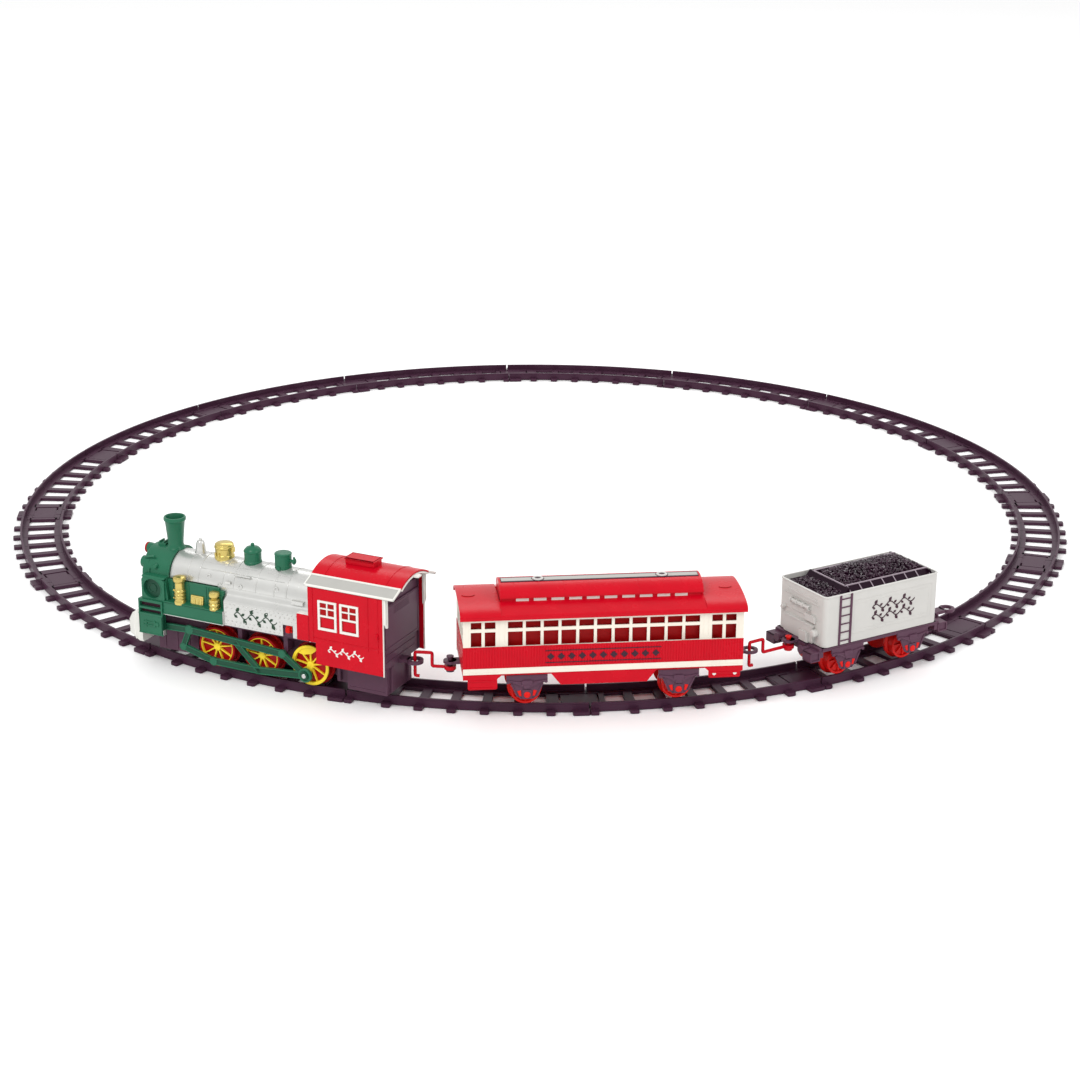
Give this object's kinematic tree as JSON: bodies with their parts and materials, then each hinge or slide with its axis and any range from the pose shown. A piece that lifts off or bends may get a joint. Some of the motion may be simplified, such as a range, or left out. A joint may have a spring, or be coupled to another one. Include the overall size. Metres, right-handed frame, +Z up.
{
  "type": "electric train set",
  "caption": "Toy steam locomotive, coach and coal tender coupled on a round snap-together track; wheels and side rods turn as the train laps.",
  "frame": {"origin": "on the floor, under the middle of the whole set's bounding box; the ring's own centre is 7.8 mm further back, at +Y", "axes": "+Z up; the train stands at the front of the ring, on the -Y side, with the locomotive towards -X"},
  "size_m": [1.041, 1.0566, 0.1273],
  "materials": {
    "track_plastic": "satin, dark aubergine",
    "dark_plastic": "satin, dark purple-grey",
    "green_plastic": "gloss",
    "silver_plastic": "silver paint, satin",
    "red_plastic": "gloss",
    "white_plastic": "satin",
    "gold_plating": "gold metallic coating",
    "wheel_red": "satin",
    "truck_wheel_red": "satin",
    "cream_plastic": "satin",
    "tender_grey": "satin",
    "coal_black": "rough",
    "steel": "satin",
    "gear_nylon": "natural",
    "battery_label": "printed sleeve"
  },
  "bodies": {
    "track": {"track_section_01": "track_plastic", "track_section_02": "track_plastic", "track_section_03": "track_plastic", "track_section_04": "track_plastic", "track_section_05": "track_plastic", "track_section_06": "track_plastic", "track_section_07": "track_plastic", "track_section_08": "track_plastic", "track_section_09": "track_plastic", "track_section_10": "track_plastic", "track_section_11": "track_plastic", "track_section_12": "track_plastic", "track_section_13": "track_plastic", "track_section_14": "track_plastic", "track_section_15": "track_plastic", "track_section_16": "track_plastic"},
    "locomotive": {"loco_chassis": "dark_plastic", "boiler_shell": "silver_plastic", "smokebox_front": "green_plastic", "chimney": "green_plastic", "sand_dome": "gold_plating", "steam_dome": "green_plastic", "valve_dome": "green_plastic", "cowcatcher": "white_plastic", "cab_body": "red_plastic", "cab_roof": "red_plastic", "cab_roof_frame": "white_plastic", "roof_hatch": "red_plastic", "battery_case": "dark_plastic", "battery_1": "battery_label", "battery_2": "battery_label", "motor": "steel"},
    "battery_cover": {"battery_cover": "dark_plastic"},
    "switch_button": {"switch_button": "truck_wheel_red"},
    "front_drive_wheels": {"front_drive_wheelset": "wheel_red"},
    "middle_drive_wheels": {"middle_drive_wheelset": "wheel_red"},
    "rear_drive_wheels": {"rear_drive_wheelset": "wheel_red", "drive_gear": "gear_nylon"},
    "left_side_rod": {"left_side_rod": "green_plastic"},
    "right_side_rod": {"right_side_rod": "green_plastic"},
    "idler_gear": {"idler_gear": "gear_nylon"},
    "motor_pinion": {"motor_pinion": "gear_nylon"},
    "coach": {"coach_base": "red_plastic", "coach_body": "red_plastic", "coach_window_band": "cream_plastic", "coach_roof": "red_plastic", "coach_clerestory": "red_plastic"},
    "coach_front_truck": {"coach_front_truck": "dark_plastic"},
    "coach_rear_truck": {"coach_rear_truck": "dark_plastic"},
    "coach_front_wheels": {"coach_front_wheelset": "truck_wheel_red"},
    "coach_rear_wheels": {"coach_rear_wheelset": "truck_wheel_red"},
    "front_drawbar": {"front_drawbar": "red_plastic"},
    "tender": {"tender_underframe": "dark_plastic", "tender_body": "tender_grey", "coal_bunker": "coal_black"},
    "tender_front_truck": {"tender_front_truck": "dark_plastic"},
    "tender_rear_truck": {"tender_rear_truck": "dark_plastic"},
    "tender_front_wheels": {"tender_front_wheelset": "truck_wheel_red"},
    "tender_rear_wheels": {"tender_rear_wheelset": "truck_wheel_red"},
    "rear_drawbar": {"rear_drawbar": "red_plastic"}
  },
  "joints": [
    {"name": "locomotive_lap", "type": "hinge", "parent": "track", "child": "locomotive", "pos_m": [0, 0.00784, 0], "axis": [0, 0, 1], "continuous": true},
    {"name": "coach_lap", "type": "hinge", "parent": "track", "child": "coach", "pos_m": [0, 0.00784, 0], "axis": [0, 0, 1], "continuous": true},
    {"name": "tender_lap", "type": "hinge", "parent": "track", "child": "tender", "pos_m": [0, 0.00784, 0], "axis": [0, 0, 1], "continuous": true},
    {"name": "front_drive_wheels_roll", "type": "hinge", "parent": "locomotive", "child": "front_drive_wheels", "pos_m": [-0.25973, -0.4142, 0.026], "axis": [0.4305, 0.9026, 0], "continuous": true},
    {"name": "middle_drive_wheels_roll", "type": "hinge", "parent": "locomotive", "child": "middle_drive_wheels", "pos_m": [-0.22047, -0.43292, 0.026], "axis": [0.4305, 0.9026, 0], "continuous": true},
    {"name": "rear_drive_wheels_roll", "type": "hinge", "parent": "locomotive", "child": "rear_drive_wheels", "pos_m": [-0.1785, -0.45294, 0.026], "axis": [0.4305, 0.9026, 0], "continuous": true},
    {"name": "left_side_rod_pivot", "type": "hinge", "parent": "rear_drive_wheels", "child": "left_side_rod", "pos_m": [-0.19132, -0.47331, 0.018], "axis": [0.4305, 0.9026, 0], "continuous": true},
    {"name": "right_side_rod_pivot", "type": "hinge", "parent": "rear_drive_wheels", "child": "right_side_rod", "pos_m": [-0.17074, -0.43017, 0.018], "axis": [0.4305, 0.9026, 0], "continuous": true},
    {"name": "idler_gear_turn", "type": "hinge", "parent": "locomotive", "child": "idler_gear", "pos_m": [-0.1785, -0.45294, 0.0446], "axis": [0.4305, 0.9026, 0], "continuous": true},
    {"name": "motor_pinion_turn", "type": "hinge", "parent": "locomotive", "child": "motor_pinion", "pos_m": [-0.1785, -0.45294, 0.0574], "axis": [0.4305, 0.9026, 0], "continuous": true},
    {"name": "switch_button_slide", "type": "slide", "parent": "locomotive", "child": "switch_button", "axis": [-0.9026, 0.4305, 0], "range_m": [0, 0.0028]},
    {"name": "battery_cover_hinge", "type": "hinge", "parent": "locomotive", "child": "battery_cover", "pos_m": [-0.11053, -0.48536, 0.0535], "axis": [0.4305, 0.9026, 0], "range_deg": [0, 60]},
    {"name": "coach_front_truck_swivel", "type": "hinge", "parent": "coach", "child": "coach_front_truck", "pos_m": [-0.0131, -0.48666, 0.038], "axis": [0, 0, 1], "range_deg": [-5, 5]},
    {"name": "coach_front_wheels_roll", "type": "hinge", "parent": "coach_front_truck", "child": "coach_front_wheels", "pos_m": [-0.0131, -0.48666, 0.0211], "axis": [-0.1115, 0.9938, 0], "continuous": true},
    {"name": "coach_rear_truck_swivel", "type": "hinge", "parent": "coach", "child": "coach_rear_truck", "pos_m": [0.10873, -0.47299, 0.038], "axis": [0, 0, 1], "range_deg": [-5, 5]},
    {"name": "coach_rear_wheels_roll", "type": "hinge", "parent": "coach_rear_truck", "child": "coach_rear_wheels", "pos_m": [0.10873, -0.47299, 0.0211], "axis": [-0.1115, 0.9938, 0], "continuous": true},
    {"name": "tender_front_truck_swivel", "type": "hinge", "parent": "tender", "child": "tender_front_truck", "pos_m": [0.23805, -0.42364, 0.038], "axis": [0, 0, 1], "range_deg": [-5, 5]},
    {"name": "tender_front_wheels_roll", "type": "hinge", "parent": "tender_front_truck", "child": "tender_front_wheels", "pos_m": [0.23805, -0.42364, 0.0211], "axis": [-0.5255, 0.8508, 0], "continuous": true},
    {"name": "tender_rear_truck_swivel", "type": "hinge", "parent": "tender", "child": "tender_rear_truck", "pos_m": [0.29676, -0.38738, 0.038], "axis": [0, 0, 1], "range_deg": [-5, 5]},
    {"name": "tender_rear_wheels_roll", "type": "hinge", "parent": "tender_rear_truck", "child": "tender_rear_wheels", "pos_m": [0.29676, -0.38738, 0.0211], "axis": [-0.5255, 0.8508, 0], "continuous": true},
    {"name": "front_drawbar_swing", "type": "hinge", "parent": "coach", "child": "front_drawbar", "pos_m": [-0.07193, -0.49325, 0.0346], "axis": [0, 0, 1], "range_deg": [-4.2, 4.2]},
    {"name": "rear_drawbar_swing", "type": "hinge", "parent": "tender", "child": "rear_drawbar", "pos_m": [0.20572, -0.4436, 0.0346], "axis": [0, 0, 1], "range_deg": [-2.9, 2.9]}
  ],
  "couplings": [
    {"joint": "coach_lap", "follows": "locomotive_lap", "ratio": 1},
    {"joint": "tender_lap", "follows": "locomotive_lap", "ratio": 1},
    {"joint": "front_drive_wheels_roll", "follows": "locomotive_lap", "ratio": 28.651},
    {"joint": "middle_drive_wheels_roll", "follows": "locomotive_lap", "ratio": 28.651},
    {"joint": "rear_drive_wheels_roll", "follows": "locomotive_lap", "ratio": 28.651},
    {"joint": "left_side_rod_pivot", "follows": "locomotive_lap", "ratio": -28.651},
    {"joint": "right_side_rod_pivot", "follows": "locomotive_lap", "ratio": -28.651},
    {"joint": "idler_gear_turn", "follows": "locomotive_lap", "ratio": -28.651},
    {"joint": "motor_pinion_turn", "follows": "locomotive_lap", "ratio": 81.924},
    {"joint": "coach_front_wheels_roll", "follows": "locomotive_lap", "ratio": 39.837},
    {"joint": "coach_rear_wheels_roll", "follows": "locomotive_lap", "ratio": 39.837},
    {"joint": "tender_front_wheels_roll", "follows": "locomotive_lap", "ratio": 40.024},
    {"joint": "tender_rear_wheels_roll", "follows": "locomotive_lap", "ratio": 40.024}
  ]
}
